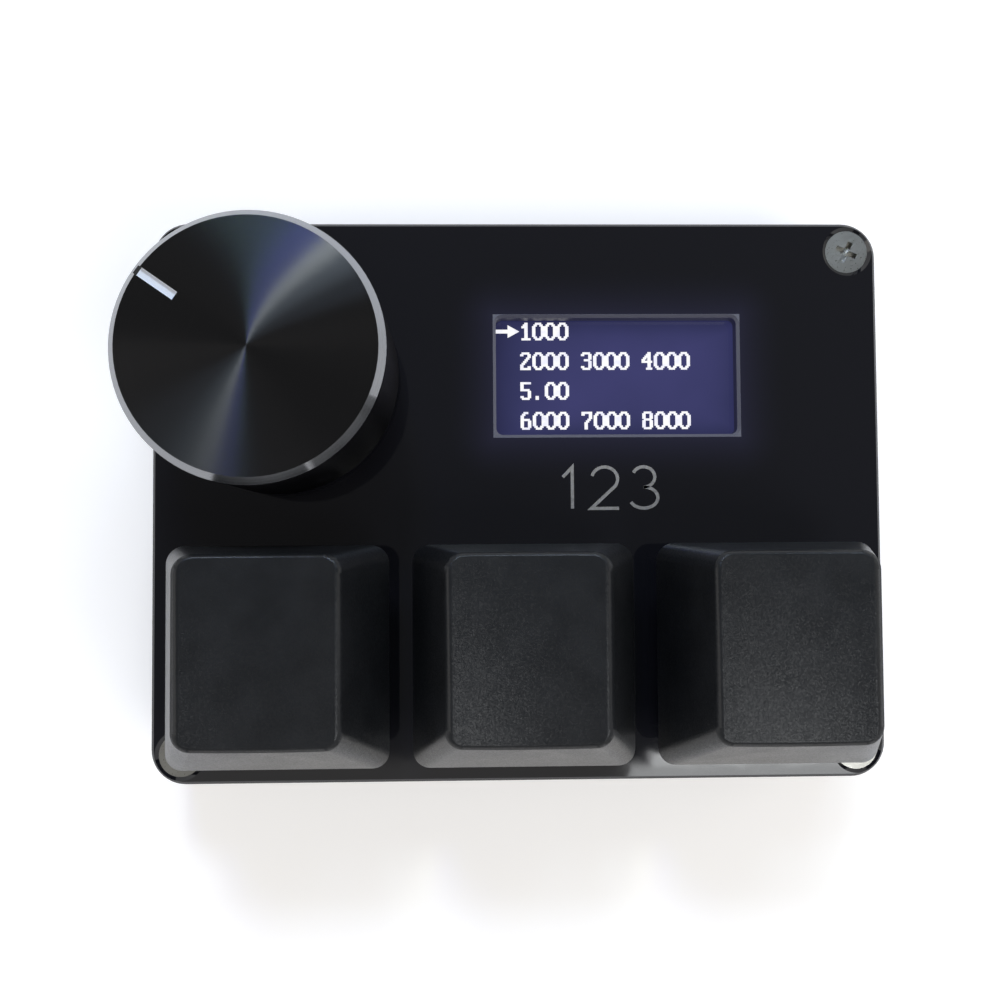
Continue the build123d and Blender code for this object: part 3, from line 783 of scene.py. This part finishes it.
def dot_outlines(text, left, top):
    """A box for each run of lit dots in a row of text."""
    outlines = []
    for place, sign in enumerate(text):
        cell_left = left + place * cell_width
        for row, bits in enumerate(digit_rows[sign]):
            y0 = top - (row + 1) * dot_height - dot_bleed
            y1 = top - row * dot_height + dot_bleed
            for start, end in lit_runs(bits):
                x0 = cell_left + start * dot_width - dot_bleed
                x1 = cell_left + end * dot_width + dot_bleed
                outlines.append(((x0, y0), (x1, y0), (x1, y1), (x0, y1)))
    return outlines


def arrow_outline():
    """The cursor in front of the first row."""
    neck = arrow_tip - arrow_head_length
    half = arrow_thickness / 2
    wing = arrow_head_height / 2
    return (
        (arrow_left, arrow_y - half),
        (neck, arrow_y - half),
        (neck, arrow_y - wing),
        (arrow_tip, arrow_y),
        (neck, arrow_y + wing),
        (neck, arrow_y + half),
        (arrow_left, arrow_y + half),
    )


def add_display_signs():
    """The lit arrow and digits, on the display's glass."""
    glass_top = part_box("lcd_glass")[1].z / MM
    outlines = [arrow_outline()]
    for row, text in enumerate(text_rows):
        outlines += dot_outlines(text, text_left, text_top - row * row_pitch)
    piece = add_skins("display_digits", raised(outlines, glass_top, glass_top + lit_rise))
    piece.data.materials.append(lit_finish("display_digits"))
    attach(piece, "case")


def bow(shares, sweep):
    """Points along part of an ellipse, given its middle, its half axes and its sweep."""
    (x, y), (reach_x, reach_y) = shares
    start, end = sweep
    angles = [math.radians(start + (end - start) * i / arc_steps) for i in range(arc_steps + 1)]
    return [(x + reach_x * math.cos(angle), y + reach_y * math.sin(angle)) for angle in angles]


def numeral_strokes():
    """The middle lines of 1, 2 and 3."""
    one = [list(one_shares)]
    two = [bow(two_bow_shares, two_bow_sweep) + list(two_foot_shares)]
    three = [bow(three_upper_shares, three_upper_sweep), bow(three_lower_shares, three_lower_sweep)]
    return one, two, three


def stroke_outline(points, width):
    """The outline of a stroke of one width along a line."""
    left = []
    right = []
    for i, point in enumerate(points):
        here = Vector(point)
        ways = []
        if i > 0:
            ways.append((here - Vector(points[i - 1])).normalized())
        if i + 1 < len(points):
            ways.append((Vector(points[i + 1]) - here).normalized())
        way = sum(ways, Vector((0, 0))).normalized()
        side = Vector((-way.y, way.x)) * (width / 2) / max(way.dot(ways[0]), sharpest_mitre)
        left.append(tuple(here + side))
        right.append(tuple(here - side))
    return right + left[::-1]


def print_outlines():
    """The strokes of the printed numbers, side by side."""
    outlines = []
    left = print_left
    for strokes, width in zip(numeral_strokes(), print_widths):
        for stroke in strokes:
            line = [(left + x * width, print_baseline + y * print_height) for x, y in stroke]
            outlines.append(stroke_outline(line, print_stroke))
        left += width + print_gap
    return outlines


def add_print():
    """The numbers printed on the panel under the window."""
    panel_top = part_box("top_panel")[1].z / MM
    piece = add_skins("panel_numbers", raised(print_outlines(), panel_top, panel_top + print_rise))
    piece.data.materials.append(ink_finish("panel_numbers"))
    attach(piece, "case")


def add_floor():
    """A pale floor that shows as white and still takes the shadow."""
    corners = [(-floor_half, -floor_half, 0), (floor_half, -floor_half, 0)]
    corners += [(floor_half, floor_half, 0), (-floor_half, floor_half, 0)]
    floor = add_mesh("floor", corners, [(0, 1, 2, 3)])
    shader = Shader("floor_finish")
    path = shader.add("LightPath").outputs
    seen = shader.math("ADD", path["Is Camera Ray"], path["Is Glossy Ray"])
    seen = shader.math("MINIMUM", shader.math("ADD", seen, path["Is Transmission Ray"]), 1.0)
    away = shader.add("VectorMath", operation="LENGTH")
    shader.feed(away.inputs[0], shader.place())
    lift = shader.span(away.outputs["Value"], *floor_lifts, *floor_lift_span)
    floor.data.materials.append(shader.dress(
        Base_Color=floor_pale,
        Roughness=floor_roughness,
        Specular_IOR_Level=floor_shine,
        Emission_Color=floor_lift_colour,
        Emission_Strength=shader.math("MULTIPLY", seen, lift),
    ))


def add_sky():
    """A studio that is pale at the sides and dim overhead."""
    world = bpy.data.worlds.new("studio")
    bpy.context.scene.world = world
    world.use_nodes = True
    tree = world.node_tree
    coordinates = tree.nodes.new("ShaderNodeTexCoord")
    split = tree.nodes.new("ShaderNodeSeparateXYZ")
    ramp = tree.nodes.new("ShaderNodeValToRGB")
    fill_ramp(ramp, [(position, (level, level, level, 1.0)) for position, level in sky_levels])
    tree.links.new(coordinates.outputs["Generated"], split.inputs[0])
    tree.links.new(split.outputs["Z"], ramp.inputs[0])
    tree.links.new(ramp.outputs[0], tree.nodes["Background"].inputs["Color"])


def add_lamp(name, middle, size, radiance, colour):
    """An area lamp of a given radiance that faces down."""
    data = bpy.data.lights.new(name, "AREA")
    data.shape = "RECTANGLE"
    data.size = size[0] * MM
    data.size_y = size[1] * MM
    data.energy = radiance * math.pi * data.size * data.size_y
    data.color = colour
    lamp = bpy.data.objects.new(name, data)
    lamp.location = Vector(middle) * MM
    lamp.visible_camera = False
    bpy.context.scene.collection.objects.link(lamp)
    return lamp


def keep_off(lamp, node):
    """Keeps a lamp's light off one of the solids."""
    group = bpy.data.collections.new(lamp.name + "_kept_off")
    group.objects.link(frame["nodes"][node])
    lamp.light_linking.receiver_collection = group
    group.collection_objects[0].light_linking.link_state = "EXCLUDE"


def add_lights():
    for name, (span_x, span_y, radiance, colour) in overhead_panels.items():
        middle = (sum(span_x) / 2, sum(span_y) / 2, overhead_height)
        size = (span_x[1] - span_x[0], span_y[1] - span_y[0])
        lamp = add_lamp(name, middle, size, radiance, colour)
        if name in off_the_knob:
            keep_off(lamp, "knob_shell")
    for name, (middle, radiance) in side_softboxes.items():
        lamp = add_lamp(name, middle, side_softbox_size, radiance, side_softbox_colour)
        lamp.rotation_euler = (Vector(light_aim) - Vector(middle)).to_track_quat("-Z", "Y").to_euler()


def add_camera():
    data = bpy.data.cameras.new("camera")
    data.lens = camera_lens
    data.sensor_width = camera_sensor
    data.clip_start = camera_nearest * MM
    data.clip_end = camera_farthest * MM
    camera = bpy.data.objects.new("camera", data)
    camera.location = Vector(camera_place) * MM
    camera.rotation_mode = camera_turn_order
    camera.rotation_euler = Euler(camera_turn, camera_turn_order)
    bpy.context.scene.collection.objects.link(camera)
    bpy.context.scene.camera = camera


add_camera()
dress_solids()
soften_edges()
add_springs()
add_display_signs()
add_print()
add_floor()
add_sky()
add_lights()
bpy.context.scene.view_settings.view_transform = "Standard"
